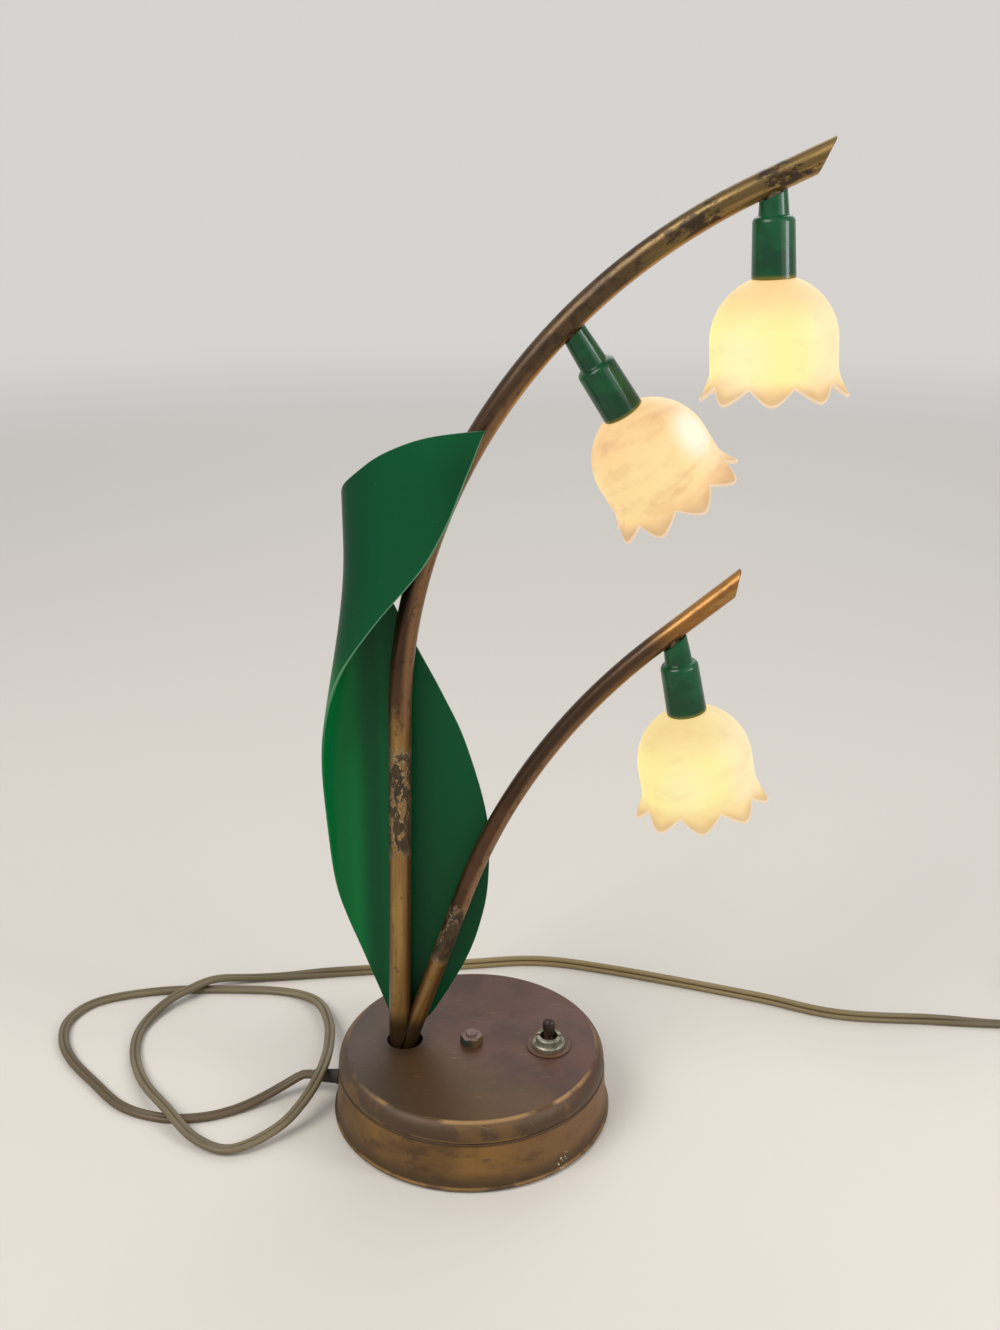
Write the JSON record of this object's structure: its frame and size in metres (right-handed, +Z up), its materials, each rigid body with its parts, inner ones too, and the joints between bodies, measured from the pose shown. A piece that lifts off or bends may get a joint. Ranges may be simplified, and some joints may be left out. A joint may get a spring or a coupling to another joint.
{
  "type": "table lamp",
  "caption": "Table lamp: bells of glass hang from curved tube stems with a rolled sheet leaf, on a round weighted base with a toggle switch and a flat mains cord.",
  "frame": {"origin": "middle of the base on the table", "axes": "+Z up; +X from the foot of the stems through the centre nut to the switch; the lamp's front faces -Y"},
  "size_m": [0.6956, 0.3026, 0.5161],
  "materials": {
    "lid paint": "worn satin, small scratches",
    "skirt brass": "aged satin",
    "plain steel": "plain",
    "felt": "felt",
    "cast iron": "rough",
    "bolt brass": "dull",
    "stem brass": "aged, flaked brown patina",
    "wire covering": "matt",
    "leaf paint": "gloss",
    "cover plastic": "gloss",
    "inner brass": "plain",
    "socket ceramic": "plain",
    "ring plastic": "plain",
    "bulb cap metal": "plain",
    "washer paint": "faded",
    "nickel": "aged bright nickel",
    "bakelite": "dull gloss",
    "dark rubber": "matt",
    "tie plastic": "matt",
    "plug plastic": "matt",
    "shade glass": "mottled alabaster glass, lit from inside",
    "bulb glass": "frosted, lit",
    "filament": "glowing"
  },
  "bodies": {
    "lamp": {"base_lid": "lid paint", "base_skirt": "skirt brass", "bottom_plate": "plain steel", "felt_pad": "felt", "counterweight": "cast iron", "centre_bolt": "bolt brass", "bolt_spacer": "bolt brass", "centre_nut": "bolt brass", "stem_set_screw": "plain steel", "long_stem": "stem brass", "short_stem": "stem brass", "long_stem_wires": "wire covering", "short_stem_wires": "wire covering", "leaf": "leaf paint", "cover_top": "cover plastic", "cover_middle": "cover plastic", "cover_low": "cover plastic", "nipple_top": "inner brass", "nipple_middle": "inner brass", "nipple_low": "inner brass", "socket_top": "socket ceramic", "socket_middle": "socket ceramic", "socket_low": "socket ceramic", "shade_ring_top": "ring plastic", "shade_ring_middle": "ring plastic", "shade_ring_low": "ring plastic", "shade_top": "shade glass", "shade_middle": "shade glass", "shade_low": "shade glass", "bulb_cap_top": "bulb cap metal", "bulb_cap_middle": "bulb cap metal", "bulb_cap_low": "bulb cap metal", "bulb_glass_top": "bulb glass", "bulb_glass_middle": "bulb glass", "bulb_glass_low": "bulb glass", "bulb_filaments": "filament", "switch_washer": "washer paint", "switch_ring_nut": "nickel", "switch_bushing": "inner brass", "switch_lock_nut": "plain steel", "switch_body": "bakelite", "switch_terminals": "inner brass", "lever_pin": "plain steel", "strain_relief": "dark rubber", "inner_cord": "wire covering", "cord_clamp": "plain steel", "clamp_screws": "plain steel", "terminal_block": "socket ceramic", "terminal_screws": "inner brass", "base_wires": "wire covering", "cord_run": "wire covering", "cord_coil": "wire covering", "cord_tie": "tie plastic", "plug_body": "plug plastic", "plug_pins": "inner brass"},
    "toggle": {"toggle_lever": "bakelite"}
  },
  "joints": [
    {"name": "toggle_rock", "type": "hinge", "parent": "lamp", "child": "toggle", "pos_m": [0.0432, 0, 0.04], "axis": [1, 0, 0], "range_deg": [0, 24]}
  ]
}
